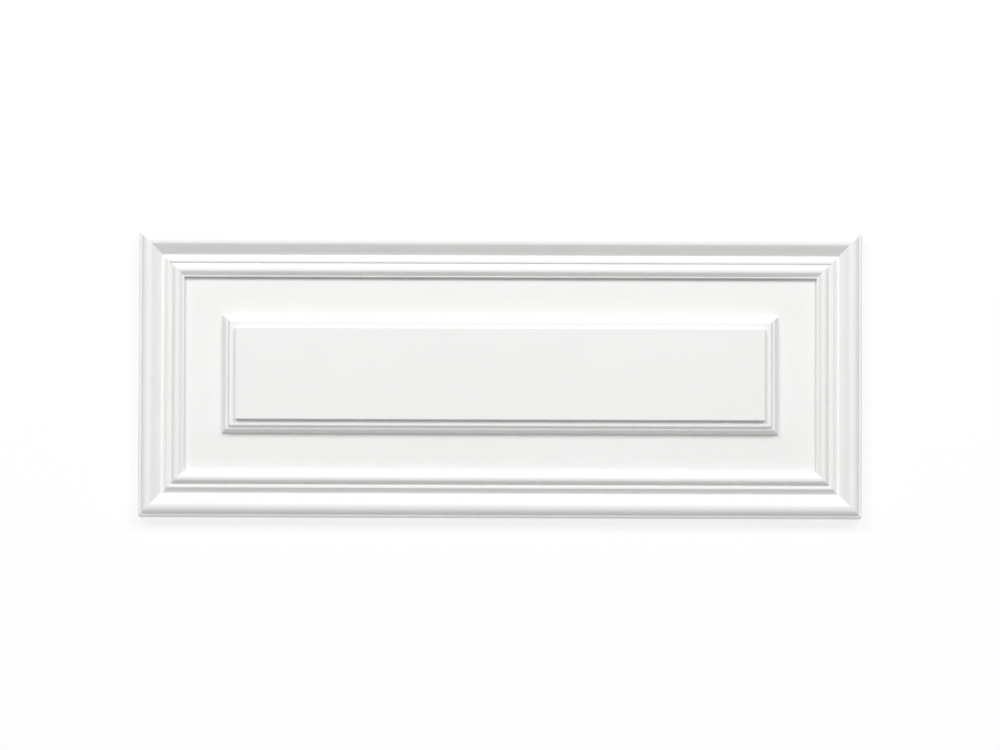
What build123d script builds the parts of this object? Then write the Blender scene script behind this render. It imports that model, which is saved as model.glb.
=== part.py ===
"""A moulded wall panel, cast in one piece.

A flat back carries a moulded frame round its edge, and inside it a field and a raised centre.
The panel lies on its back: X runs along it, Y across it, and Z up from the back face to the front.
The origin is the middle of the back face. All sizes are in millimetres.

The frame, the field and the edge of the centre are one outline, carried round with mitred corners.
In it, a distance is measured inwards from the panel's outer edge, and a height up from the field.
"""

import os
from math import radians, tan

from build123d import *

# The back
PANEL_LENGTH = 430.0
PANEL_WIDTH = 170.0
FIELD_THICKNESS = 7.0  # from the back face to the flat field inside the frame
CORNER_RADIUS = 1.8
EDGE_DRAFT = 1.5  # degrees that each side leans in towards the front, so that the cast leaves its mould
EDGE_ROUNDING = 1.0  # where the sides meet the front

# The frame, from the panel's outer edge inwards
OUTER_LEDGE_WIDTH = 1.9
OUTER_LEDGE_HEIGHT = 2.3
NOSE_SIDE_WIDTH = 1.65
NOSE_TOP_WIDTH = 4.0
NOSE_HEIGHT = 5.8
NOSE_RADIUS = 4.1
OGEE_WIDTH = 6.3
OGEE_SHOULDER_RADIUS = 2.2
OGEE_FOOT_RADIUS = 0.3
VALLEY_WIDTH = 0.85
VALLEY_HEIGHT = 0.2
COVE_WIDTH = 2.6
COVE_HEIGHT = 3.0
COVE_FOOT_RADIUS = 1.8
COVE_SHOULDER_RADIUS = 0.2
COVE_TOP_WIDTH = 1.2
QUIRK_WIDTH = 1.1
QUIRK_DEPTH = 0.8
BEAD_OUTER_WIDTH = 2.25
BEAD_TOP_WIDTH = 2.1
BEAD_INNER_WIDTH = 2.45
BEAD_HEIGHT = 5.3
BEAD_RADIUS = 1.9
BEAD_FOOT_RADIUS = 0.6
INNER_LEDGE_WIDTH = 0.6
INNER_LEDGE_HEIGHT = 2.8
INNER_STEP_WIDTH = 0.2

# The flat field between the frame and the raised centre
FIELD_WIDTH = 22.45

# The raised centre, from its outer edge inwards
RISER_WIDTH = 2.4
RISER_HEIGHT = 5.0
RISER_FOOT_RADIUS = 0.2
RISER_SHOULDER_RADIUS = 0.8
LOWER_TREAD_WIDTH = 1.2
MIDDLE_STEP_WIDTH = 1.15
MIDDLE_STEP_HEIGHT = 2.2
UPPER_TREAD_WIDTH = 3.4
TOP_STEP_WIDTH = 0.2
TOP_STEP_HEIGHT = 2.8
TOP_RIM_WIDTH = 5.0  # the part of the flat top that the outline carries round

# The small roundings that a mould and a coat of primer leave
ARRIS_RADIUS = 0.12
ROOT_RADIUS = 0.15

SUNK_DEPTH = 1.0  # how far below the field the back is sunk, for the outline that fills it
BURIED_DEPTH = 2.0  # how far below the field the outline reaches
LARGEST_SHARE = 0.98  # of a straight run, that the roundings at its two ends take together


def fitting_radii(points, radii):
    """The radii, made smaller where two neighbouring roundings need more than the run between them."""
    runs = [Vector(*after) - Vector(*before) for before, after in zip(points, points[1:])]
    turns = [radians(arriving.get_angle(leaving)) for arriving, leaving in zip(runs, runs[1:])]
    reaches = [0, *(radius * tan(turn / 2) for radius, turn in zip(radii, turns)), 0]
    shares = []
    for run, start, end in zip(runs, reaches, reaches[1:]):
        room = LARGEST_SHARE * run.length
        shares.append(room / max(start + end, room))
    return [radius * min(pair) for radius, pair in zip(radii, zip(shares, shares[1:]))]


def carried_round(outline):
    """A solid: an outline of (distance, height, radius) corners, carried round the panel."""
    first = (outline[0][0], -BURIED_DEPTH)
    last = (outline[-1][0], -BURIED_DEPTH)
    points = [first, *((distance, height) for distance, height, _ in outline), last]
    radii = fitting_radii(points, [radius for _, _, radius in outline])
    front = FilletPolyline(*points, radius=radii)
    section = make_face([*front.edges(), Line(last, first).edge()])
    halfway = (0, -PANEL_WIDTH / 2, FIELD_THICKNESS)
    section = Plane(origin=halfway, x_dir=(0, 1, 0), z_dir=(1, 0, 0)) * section
    right = PANEL_LENGTH / 2
    top = PANEL_WIDTH / 2
    corners = [(0, -top), (right, -top), (right, top), (0, top)]
    path = Polyline(*((x, y, FIELD_THICKNESS) for x, y in corners))
    half = sweep(section, path=path, transition=Transition.RIGHT)
    return half + mirror(half, about=Plane.YZ)


def make_back():
    """The flat back and the outer edge of the panel, sunk inside the frame."""
    outline = RectangleRounded(PANEL_LENGTH, PANEL_WIDTH, CORNER_RADIUS)
    back = extrude(outline, amount=FIELD_THICKNESS + OUTER_LEDGE_HEIGHT, taper=EDGE_DRAFT)
    back = fillet(back.faces().sort_by(Axis.Z)[-1].edges(), EDGE_ROUNDING)
    inside = OUTER_LEDGE_WIDTH + NOSE_SIDE_WIDTH + NOSE_TOP_WIDTH / 2
    sunk = Box(
        PANEL_LENGTH - 2 * inside,
        PANEL_WIDTH - 2 * inside,
        OUTER_LEDGE_HEIGHT + 2 * SUNK_DEPTH,
        align=(Align.CENTER, Align.CENTER, Align.MIN),
    )
    return back - Pos(0, 0, FIELD_THICKNESS - SUNK_DEPTH) * sunk


def frame_outline():
    """The moulded frame: a rounded nose, an ogee, a cove, a quirk, a bead and a small inner ledge."""
    nose = OUTER_LEDGE_WIDTH + NOSE_SIDE_WIDTH
    ogee = nose + NOSE_TOP_WIDTH
    valley = ogee + OGEE_WIDTH
    cove = valley + VALLEY_WIDTH
    cove_top = cove + COVE_WIDTH
    quirk = cove_top + COVE_TOP_WIDTH
    bead = quirk + QUIRK_WIDTH
    bead_top = bead + BEAD_OUTER_WIDTH
    bead_side = bead_top + BEAD_TOP_WIDTH
    inner_ledge = bead_side + BEAD_INNER_WIDTH
    inner_step = inner_ledge + INNER_LEDGE_WIDTH
    field = inner_step + INNER_STEP_WIDTH
    quirk_height = COVE_HEIGHT - QUIRK_DEPTH
    return [
        (OUTER_LEDGE_WIDTH, OUTER_LEDGE_HEIGHT, 0),
        (nose, NOSE_HEIGHT, NOSE_RADIUS),
        (ogee, NOSE_HEIGHT, OGEE_SHOULDER_RADIUS),
        (valley, VALLEY_HEIGHT, OGEE_FOOT_RADIUS),
        (cove, VALLEY_HEIGHT, COVE_FOOT_RADIUS),
        (cove_top, COVE_HEIGHT, COVE_SHOULDER_RADIUS),
        (quirk, COVE_HEIGHT, ARRIS_RADIUS),
        (quirk, quirk_height, ROOT_RADIUS),
        (bead, quirk_height, BEAD_FOOT_RADIUS),
        (bead_top, BEAD_HEIGHT, BEAD_RADIUS),
        (bead_side, BEAD_HEIGHT, BEAD_RADIUS),
        (inner_ledge, INNER_LEDGE_HEIGHT, BEAD_FOOT_RADIUS),
        (inner_step, INNER_LEDGE_HEIGHT, ARRIS_RADIUS),
        (field, 0, ROOT_RADIUS),
    ]


def centre_outline(foot):
    """The edge of the raised centre: a sloping riser and two low steps, up to the flat top."""
    lower_tread = foot + RISER_WIDTH
    middle_step = lower_tread + LOWER_TREAD_WIDTH
    upper_tread = middle_step + MIDDLE_STEP_WIDTH
    top_step = upper_tread + UPPER_TREAD_WIDTH
    top = top_step + TOP_STEP_WIDTH
    upper_height = RISER_HEIGHT + MIDDLE_STEP_HEIGHT
    top_height = upper_height + TOP_STEP_HEIGHT
    return [
        (foot, 0, RISER_FOOT_RADIUS),
        (lower_tread, RISER_HEIGHT, RISER_SHOULDER_RADIUS),
        (middle_step, RISER_HEIGHT, ROOT_RADIUS),
        (upper_tread, upper_height, ARRIS_RADIUS),
        (top_step, upper_height, ROOT_RADIUS),
        (top, top_height, ARRIS_RADIUS),
        (top + TOP_RIM_WIDTH, top_height, 0),
    ]


def make_middle(rim, height):
    """The flat middle of the raised centre, which fills the ring that the outline makes."""
    return Box(
        PANEL_LENGTH - 2 * rim,
        PANEL_WIDTH - 2 * rim,
        FIELD_THICKNESS + height,
        align=(Align.CENTER, Align.CENTER, Align.MIN),
    )


frame = frame_outline()
frame_width = frame[-1][0]
centre = centre_outline(frame_width + FIELD_WIDTH)
rim, top_height, _ = centre[-1]
panel = make_back() + carried_round([*frame, *centre]) + make_middle(rim, top_height)

os.makedirs("parts", exist_ok=True)
export_step(panel, "parts/panel.step")
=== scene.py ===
"""A wall panel moulded in one piece, lying on its back under a camera that looks straight down at it.

Sizes are in metres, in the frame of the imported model: X along the panel, Y across it, and Z up from
its back. In the panel's section, a distance is measured inwards from the outer edge, and a height up
from the field.
"""

from cmath import phase, rect
from math import ceil, cos, pi, radians, sin, tan

import bpy
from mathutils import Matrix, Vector


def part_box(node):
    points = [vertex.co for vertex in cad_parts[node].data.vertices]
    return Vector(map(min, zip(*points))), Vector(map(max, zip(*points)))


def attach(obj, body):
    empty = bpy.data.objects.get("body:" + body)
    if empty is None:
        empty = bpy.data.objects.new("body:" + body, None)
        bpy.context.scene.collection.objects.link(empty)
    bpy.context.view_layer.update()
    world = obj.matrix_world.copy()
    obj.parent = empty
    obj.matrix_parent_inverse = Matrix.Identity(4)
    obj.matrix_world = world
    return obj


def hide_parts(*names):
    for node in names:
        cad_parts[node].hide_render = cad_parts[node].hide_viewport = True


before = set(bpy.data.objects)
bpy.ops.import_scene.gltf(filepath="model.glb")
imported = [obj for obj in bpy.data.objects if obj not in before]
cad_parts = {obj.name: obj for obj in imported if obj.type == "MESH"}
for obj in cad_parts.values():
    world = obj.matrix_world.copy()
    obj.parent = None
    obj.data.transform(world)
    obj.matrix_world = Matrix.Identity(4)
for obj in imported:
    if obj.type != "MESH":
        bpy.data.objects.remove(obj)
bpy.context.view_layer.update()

MM = 0.001

# The back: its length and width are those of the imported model
panel_low, panel_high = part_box("panel")
PANEL_LENGTH = panel_high[0] - panel_low[0]
PANEL_WIDTH = panel_high[1] - panel_low[1]
FIELD_THICKNESS = 7.0 * MM  # from the back to the flat field inside the frame
CORNER_RADIUS = 1.8 * MM
EDGE_DRAFT = radians(1.5)  # how far each side leans in towards the front
EDGE_ROUNDING = 1.0 * MM
BACK_EDGE_ROUNDING = 0.25 * MM

# The frame, from the panel's outer edge inwards
OUTER_LEDGE_WIDTH = 1.9 * MM
OUTER_LEDGE_HEIGHT = 2.3 * MM
NOSE_SIDE_WIDTH = 1.65 * MM
NOSE_TOP_WIDTH = 4.0 * MM
NOSE_HEIGHT = 5.8 * MM
NOSE_RADIUS = 4.1 * MM
OGEE_WIDTH = 6.3 * MM
OGEE_SHOULDER_RADIUS = 2.2 * MM
OGEE_FOOT_RADIUS = 0.3 * MM
VALLEY_WIDTH = 0.85 * MM
VALLEY_HEIGHT = 0.2 * MM
COVE_WIDTH = 2.6 * MM
COVE_HEIGHT = 3.0 * MM
COVE_FOOT_RADIUS = 1.8 * MM
COVE_SHOULDER_RADIUS = 0.2 * MM
COVE_TOP_WIDTH = 1.2 * MM
QUIRK_WIDTH = 1.1 * MM
QUIRK_DEPTH = 0.8 * MM
BEAD_OUTER_WIDTH = 2.25 * MM
BEAD_TOP_WIDTH = 2.1 * MM
BEAD_INNER_WIDTH = 2.45 * MM
BEAD_HEIGHT = 5.3 * MM
BEAD_RADIUS = 1.9 * MM
BEAD_FOOT_RADIUS = 0.6 * MM
INNER_LEDGE_WIDTH = 0.6 * MM
INNER_LEDGE_HEIGHT = 2.8 * MM
INNER_STEP_WIDTH = 0.2 * MM

# The flat field between the frame and the raised centre
FIELD_WIDTH = 22.45 * MM

# The raised centre, from its outer edge inwards
RISER_WIDTH = 2.4 * MM
RISER_HEIGHT = 5.0 * MM
RISER_FOOT_RADIUS = 0.2 * MM
RISER_SHOULDER_RADIUS = 0.8 * MM
LOWER_TREAD_WIDTH = 1.2 * MM
MIDDLE_STEP_WIDTH = 1.15 * MM
MIDDLE_STEP_HEIGHT = 2.2 * MM
UPPER_TREAD_WIDTH = 3.4 * MM
TOP_STEP_WIDTH = 0.2 * MM
TOP_STEP_HEIGHT = 2.8 * MM
TOP_RIM_WIDTH = 5.0 * MM

# The small roundings that a mould and a coat of primer leave
ARRIS_RADIUS = 0.12 * MM
ROOT_RADIUS = 0.15 * MM
MITRE_RADIUS = 0.3 * MM

# How finely the round parts are drawn
LARGEST_SHARE = 0.98  # of a straight run, that the roundings at its two ends take together
ARC_STEP = radians(7)
CORNER_STEPS = 6

# How the rectangle is gone round, and how its back is told from its sides
QUARTERS = [(1, 1), (-1, 1), (-1, -1), (1, -1)]  # the signs of X and Y at the four corners, in turn
FACING_DOWN = -0.99  # a face whose normal has less than this along Z belongs to the back

# The photograph's frame: the panel is 722.5 pixels long in a picture 1000 pixels wide
PANEL_PIXELS = 722.5
PICTURE_PIXELS = 1000
PIXEL = PANEL_LENGTH / PANEL_PIXELS
PICTURE_MIDDLE = (-0.2 * PIXEL, 0.6 * PIXEL, 0)  # the point of the panel that is seen there
CAMERA_DISTANCE = 5.0
CAMERA_TILT = radians(3.5)  # from straight above, towards the bottom of the picture
TURN_IN_PICTURE = radians(0.19)  # clockwise
SENSOR_WIDTH = 36.0

# The sizes of what the surfaces show
PRIMER_PEEL = 0.9 * MM  # from one bump of the orange peel to the next
PRIMER_CLOUD = 35 * MM
FOAM_CELL = 1.6 * MM  # between pinholes, which are about twice as far apart as in real foam
FOAM_CLOUD = 25 * MM

# The studio
FLOOR_SIZE = 30.0
FLOOR_UNDER_PANEL = 1 * MM  # how far the floor reaches in under the edges of the back
FLOOR_HEIGHT = -0.1 * MM  # a hair below the back, so that the two faces don't flicker
FLOOR_SHADING = 0.2  # the share of the floor's white that a full shadow takes away
DOME_LIGHT = 0.25
LEFT_LIGHT = 47.5
RIGHT_LIGHT = 44.5
LOW_LIGHT = 20.0
LAMP_DISTANCE = 3.0
UPPER_SOFTBOX = (1.2, 1.2)
LOW_SOFTBOX = (4.0, 0.7)
UPPER_ELEVATION = radians(48)
LOW_ELEVATION = radians(7)
TOWARDS_TOP = radians(90)
TOWARDS_BOTTOM = radians(270)
UPPER_SPREAD = radians(37)  # from the middle of the panel's top to each upper softbox

# The sockets of a Mix node that holds colours
MIX_FIRST = 6
MIX_SECOND = 7
MIX_RESULT = 2


def outer_edge():
    """The panel's side, from the back face up to the ledge in front of the frame."""
    lean = (FIELD_THICKNESS + OUTER_LEDGE_HEIGHT) * tan(EDGE_DRAFT)
    return [
        (0, -FIELD_THICKNESS, BACK_EDGE_ROUNDING),
        (lean, OUTER_LEDGE_HEIGHT, EDGE_ROUNDING),
    ]


def frame_moulding():
    """The moulded frame: a rounded nose, an ogee, a cove, a quirk, a bead and a small inner ledge."""
    nose = OUTER_LEDGE_WIDTH + NOSE_SIDE_WIDTH
    ogee = nose + NOSE_TOP_WIDTH
    valley = ogee + OGEE_WIDTH
    cove = valley + VALLEY_WIDTH
    cove_top = cove + COVE_WIDTH
    quirk = cove_top + COVE_TOP_WIDTH
    bead = quirk + QUIRK_WIDTH
    bead_top = bead + BEAD_OUTER_WIDTH
    bead_side = bead_top + BEAD_TOP_WIDTH
    inner_ledge = bead_side + BEAD_INNER_WIDTH
    inner_step = inner_ledge + INNER_LEDGE_WIDTH
    field = inner_step + INNER_STEP_WIDTH
    quirk_height = COVE_HEIGHT - QUIRK_DEPTH
    return [
        (OUTER_LEDGE_WIDTH, OUTER_LEDGE_HEIGHT, ROOT_RADIUS),
        (nose, NOSE_HEIGHT, NOSE_RADIUS),
        (ogee, NOSE_HEIGHT, OGEE_SHOULDER_RADIUS),
        (valley, VALLEY_HEIGHT, OGEE_FOOT_RADIUS),
        (cove, VALLEY_HEIGHT, COVE_FOOT_RADIUS),
        (cove_top, COVE_HEIGHT, COVE_SHOULDER_RADIUS),
        (quirk, COVE_HEIGHT, ARRIS_RADIUS),
        (quirk, quirk_height, ROOT_RADIUS),
        (bead, quirk_height, BEAD_FOOT_RADIUS),
        (bead_top, BEAD_HEIGHT, BEAD_RADIUS),
        (bead_side, BEAD_HEIGHT, BEAD_RADIUS),
        (inner_ledge, INNER_LEDGE_HEIGHT, BEAD_FOOT_RADIUS),
        (inner_step, INNER_LEDGE_HEIGHT, ARRIS_RADIUS),
        (field, 0, ROOT_RADIUS),
    ]


def raised_centre(foot):
    """The edge of the raised centre: a sloping riser and two low steps, up to the flat top."""
    lower_tread = foot + RISER_WIDTH
    middle_step = lower_tread + LOWER_TREAD_WIDTH
    upper_tread = middle_step + MIDDLE_STEP_WIDTH
    top_step = upper_tread + UPPER_TREAD_WIDTH
    top = top_step + TOP_STEP_WIDTH
    upper_height = RISER_HEIGHT + MIDDLE_STEP_HEIGHT
    top_height = upper_height + TOP_STEP_HEIGHT
    return [
        (foot, 0, RISER_FOOT_RADIUS),
        (lower_tread, RISER_HEIGHT, RISER_SHOULDER_RADIUS),
        (middle_step, RISER_HEIGHT, ROOT_RADIUS),
        (upper_tread, upper_height, ARRIS_RADIUS),
        (top_step, upper_height, ROOT_RADIUS),
        (top, top_height, ARRIS_RADIUS),
        (top + TOP_RIM_WIDTH, top_height, 0),
    ]


def turn_at(before, corner, after):
    """The angle that a section turns through at one of its corners. Points are complex numbers."""
    return phase((after - corner) / (corner - before))


def rounded(before, corner, after, reach):
    """The points of the arc that rounds a corner, and that starts and ends a reach away from it."""
    turn = turn_at(before, corner, after)
    arriving = (corner - before) / abs(corner - before)
    start = corner - reach * arriving
    centre = start + 1j * arriving * reach / tan(turn / 2)
    steps = max(2, ceil(abs(turn) / ARC_STEP))
    return [centre + (start - centre) * rect(1, turn * i / steps) for i in range(steps + 1)]


def section_points():
    """The whole section, from the middle of the back round the outer edge to the flat top."""
    outline = outer_edge() + frame_moulding()
    outline += raised_centre(outline[-1][0] + FIELD_WIDTH)
    back = complex(TOP_RIM_WIDTH, -FIELD_THICKNESS)
    points = [back, *(complex(distance, height) for distance, height, _ in outline)]
    corners = list(zip(points, points[1:], points[2:]))
    radii = [radius for _, _, radius in outline]
    reaches = [0, *(radius * tan(abs(turn_at(*corner)) / 2) for radius, corner in zip(radii, corners)), 0]
    shares = []
    for i, (here, there) in enumerate(zip(points, points[1:])):
        room = LARGEST_SHARE * abs(there - here)
        shares.append(room / max(reaches[i] + reaches[i + 1], room))
    section = [back]
    for i, corner in enumerate(corners, start=1):
        section += rounded(*corner, reaches[i] * min(shares[i - 1], shares[i]))
    return [*section, points[-1]]


def ring_points(distance):
    """One turn round the panel at a distance from its outer edge, with its four corners rounded."""
    radius = max(CORNER_RADIUS - distance, MITRE_RADIUS)
    x = PANEL_LENGTH / 2 - distance - radius
    y = PANEL_WIDTH / 2 - distance - radius
    for quarter, (side, end) in enumerate(QUARTERS):
        for step in range(CORNER_STEPS + 1):
            turn = pi / 2 * (quarter + step / CORNER_STEPS)
            yield side * x + radius * cos(turn), end * y + radius * sin(turn)


def make_panel(front, back):
    """The panel: its section carried round the rectangle, closed by the flat top and the back."""
    section = section_points()
    points = []
    for place in section:
        height = FIELD_THICKNESS + place.imag
        points += [(x, y, height) for x, y in ring_points(place.real)]
    around = 4 * (CORNER_STEPS + 1)
    faces = [tuple(reversed(range(around)))]
    for ring in range(len(section) - 1):
        for i in range(around):
            low = ring * around
            following = (i + 1) % around
            faces.append((low + i, low + following, low + around + following, low + around + i))
    faces.append(tuple(range(len(points) - around, len(points))))
    mesh = bpy.data.meshes.new("moulded_panel")
    mesh.from_pydata(points, [], faces)
    mesh.materials.append(front)
    mesh.materials.append(back)
    for face in mesh.polygons:
        face.use_smooth = True
        face.material_index = int(face.normal.z < FACING_DOWN)
    panel = bpy.data.objects.new("moulded_panel", mesh)
    bpy.context.collection.objects.link(panel)
    panel.modifiers.new("flat_faces_stay_flat", "WEIGHTED_NORMAL")
    return panel


def colour(code):
    """A colour written as sRGB hex, as the linear values that shaders take."""
    channels = [int(code[i : i + 2], 16) / 255 for i in (1, 3, 5)]
    return [c / 12.92 if c <= 0.04045 else ((c + 0.055) / 1.055) ** 2.4 for c in channels] + [1]


def node(tree, kind, settings=None, links=None):
    """Adds a node. Settings name its properties and sockets, and links name the sockets that feed it."""
    made = tree.nodes.new(kind)
    for name, value in (settings or {}).items():
        if isinstance(name, str) and hasattr(made, name):
            setattr(made, name, value)
        else:
            made.inputs[name].default_value = value
    for name, source in (links or {}).items():
        tree.links.new(source, made.inputs[name])
    return made


def new_tree(name):
    """A material with an empty node tree."""
    material = bpy.data.materials.new(name)
    material.use_nodes = True
    material.node_tree.nodes.clear()
    return material, material.node_tree


def between(tree, amount, low, high):
    """A colour that goes from one to another as an amount goes from 0 to 1."""
    settings = {"data_type": "RGBA", MIX_FIRST: colour(low), MIX_SECOND: colour(high)}
    return node(tree, "ShaderNodeMix", settings, {0: amount}).outputs[MIX_RESULT]


def sprayed_primer():
    """White acrylic primer, sprayed on moulded polyurethane in the factory.

    The eye sees an even, soft white with hardly any gloss. Close to, it has the fine orange peel of
    a sprayed coat, and a faint cloudiness where the coat is thicker.
    """
    material, tree = new_tree("sprayed_primer")
    place = node(tree, "ShaderNodeTexCoord").outputs["Object"]
    cloud = node(tree, "ShaderNodeTexNoise", {"Scale": 1 / PRIMER_CLOUD, "Detail": 3}, {"Vector": place})
    peel = node(tree, "ShaderNodeTexNoise", {"Scale": 1 / PRIMER_PEEL, "Detail": 2}, {"Vector": place})
    tone = between(tree, cloud.outputs["Fac"], "#EBEBEA", "#EEEEED")
    sheen = node(
        tree,
        "ShaderNodeMapRange",
        {"To Min": 0.5, "To Max": 0.62},
        {"Value": peel.outputs["Fac"]},
    )
    relief = node(
        tree,
        "ShaderNodeBump",
        {"Strength": 0.3, "Distance": 0.004 * MM},
        {"Height": peel.outputs["Fac"]},
    )
    shader = node(
        tree,
        "ShaderNodeBsdfPrincipled",
        {"IOR": 1.47},
        {"Base Color": tone, "Roughness": sheen.outputs["Result"], "Normal": relief.outputs["Normal"]},
    )
    node(tree, "ShaderNodeOutputMaterial", links={"Surface": shader.outputs["BSDF"]})
    return material


def bare_foam_back():
    """The bare back of a polyurethane casting: rigid foam, wiped flat in the open side of the mould.

    The eye sees a warm off-white that is duller than the primer, with pinholes where gas bubbles met
    the surface. Their bump is relief, and their darker colour is painted shade inside them.
    """
    material, tree = new_tree("bare_foam_back")
    place = node(tree, "ShaderNodeTexCoord").outputs["Object"]
    cloud = node(tree, "ShaderNodeTexNoise", {"Scale": 1 / FOAM_CLOUD, "Detail": 4}, {"Vector": place})
    cells = node(tree, "ShaderNodeTexVoronoi", {"Scale": 1 / FOAM_CELL}, {"Vector": place})
    pinholes = node(
        tree,
        "ShaderNodeMapRange",
        {"From Min": 0.12, "From Max": 0.26, "To Min": 0.0, "To Max": 1.0},
        {"Value": cells.outputs["Distance"]},
    )
    skin = between(tree, cloud.outputs["Fac"], "#E4DDC9", "#EFEADB")
    # The pinholes are painted darker, as painted shade inside the holes, over the foam's own colour
    pinhole_painted_shade = node(
        tree,
        "ShaderNodeMix",
        {"data_type": "RGBA", MIX_FIRST: colour("#B9AE93")},
        {0: pinholes.outputs["Result"], MIX_SECOND: skin},
    )
    relief = node(
        tree,
        "ShaderNodeBump",
        {"Strength": 0.5, "Distance": 0.2 * MM},
        {"Height": pinholes.outputs["Result"]},
    )
    shader = node(
        tree,
        "ShaderNodeBsdfPrincipled",
        {"IOR": 1.5, "Roughness": 0.8},
        {"Base Color": pinhole_painted_shade.outputs[MIX_RESULT], "Normal": relief.outputs["Normal"]},
    )
    node(tree, "ShaderNodeOutputMaterial", links={"Surface": shader.outputs["BSDF"]})
    return material


def seen_directly(tree):
    """1 where the eye sees a surface, straight on or in a mirror or through glass, and 0 for its light."""
    path = node(tree, "ShaderNodeLightPath")
    straight = path.outputs["Is Camera Ray"]
    for name in ("Is Glossy Ray", "Is Transmission Ray"):
        both = node(
            tree,
            "ShaderNodeMath",
            {"operation": "MAXIMUM"},
            {0: straight, 1: path.outputs[name]},
        )
        straight = both.outputs["Value"]
    return straight


def matt_white_floor():
    """A matt white board. It is seen as plain white paper, on which the panel's shadow stays pale."""
    material, tree = new_tree("matt_white_floor")
    board = node(tree, "ShaderNodeBsdfDiffuse", {"Color": colour("#E6E6E6")})
    shaded = node(tree, "ShaderNodeBsdfDiffuse", {"Color": [FLOOR_SHADING] * 3 + [1]})
    lit = node(tree, "ShaderNodeEmission", {"Strength": 1 - FLOOR_SHADING})
    paper = node(
        tree,
        "ShaderNodeAddShader",
        links={0: shaded.outputs["BSDF"], 1: lit.outputs["Emission"]},
    )
    shader = node(
        tree,
        "ShaderNodeMixShader",
        links={0: seen_directly(tree), 1: board.outputs["BSDF"], 2: paper.outputs["Shader"]},
    )
    node(tree, "ShaderNodeOutputMaterial", links={"Surface": shader.outputs["Shader"]})
    return material


def make_floor():
    """A plain floor that the panel lies on, open under the panel so that the back can be seen."""
    outer = FLOOR_SIZE / 2
    inner_x = PANEL_LENGTH / 2 - FLOOR_UNDER_PANEL
    inner_y = PANEL_WIDTH / 2 - FLOOR_UNDER_PANEL
    corners = []
    for x, y in ((outer, outer), (inner_x, inner_y)):
        corners += [(side * x, end * y, FLOOR_HEIGHT) for side, end in QUARTERS]
    sides = [(i, (i + 1) % 4, 4 + (i + 1) % 4, 4 + i) for i in range(4)]
    mesh = bpy.data.meshes.new("floor")
    mesh.from_pydata(corners, [], sides)
    mesh.materials.append(matt_white_floor())
    floor = bpy.data.objects.new("floor", mesh)
    bpy.context.collection.objects.link(floor)
    return floor


def light_dome():
    """Even light from all round. The background itself is seen as white."""
    world = bpy.data.worlds.new("light_dome")
    world.use_nodes = True
    tree = world.node_tree
    tree.nodes.clear()
    dome = node(tree, "ShaderNodeBackground", {"Color": colour("#FFFFFF"), "Strength": DOME_LIGHT})
    white = node(tree, "ShaderNodeBackground", {"Color": colour("#FFFFFF"), "Strength": 1.0})
    shader = node(
        tree,
        "ShaderNodeMixShader",
        links={0: seen_directly(tree), 1: dome.outputs[0], 2: white.outputs[0]},
    )
    node(tree, "ShaderNodeOutputWorld", links={"Surface": shader.outputs["Shader"]})
    bpy.context.scene.world = world


def softbox(name, side, elevation, size, power):
    """A rectangular lamp that faces the panel, from a side (an angle from X) and an elevation."""
    lamp = bpy.data.lights.new(name, "AREA")
    lamp.shape = "RECTANGLE"
    lamp.size, lamp.size_y = size
    lamp.energy = power
    box = bpy.data.objects.new(name, lamp)
    level = cos(elevation)
    towards = Vector((level * cos(side), level * sin(side), sin(elevation)))
    box.location = LAMP_DISTANCE * towards
    box.rotation_euler = towards.to_track_quat("Z", "Y").to_euler()
    bpy.context.collection.objects.link(box)


def overhead_camera():
    """A long lens, far above the panel and a little below its middle, so that hardly anything recedes."""
    camera = bpy.data.objects.new("camera", bpy.data.cameras.new("camera"))
    camera.data.sensor_width = SENSOR_WIDTH
    camera.data.lens = SENSOR_WIDTH * CAMERA_DISTANCE / (PICTURE_PIXELS * PIXEL)
    camera.data.clip_end = 4 * CAMERA_DISTANCE
    camera.rotation_euler = (CAMERA_TILT, 0, TURN_IN_PICTURE)
    back = camera.rotation_euler.to_matrix() @ Vector((0, 0, 1))
    camera.location = Vector(PICTURE_MIDDLE) + CAMERA_DISTANCE * back
    bpy.context.collection.objects.link(camera)
    bpy.context.scene.camera = camera


panel = make_panel(sprayed_primer(), bare_foam_back())
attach(panel, "root")
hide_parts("panel")

make_floor()
light_dome()
softbox("left_softbox", TOWARDS_TOP + UPPER_SPREAD, UPPER_ELEVATION, UPPER_SOFTBOX, LEFT_LIGHT)
softbox("right_softbox", TOWARDS_TOP - UPPER_SPREAD, UPPER_ELEVATION, UPPER_SOFTBOX, RIGHT_LIGHT)
softbox("low_softbox", TOWARDS_BOTTOM, LOW_ELEVATION, LOW_SOFTBOX, LOW_LIGHT)
overhead_camera()
bpy.context.scene.view_settings.view_transform = "Standard"
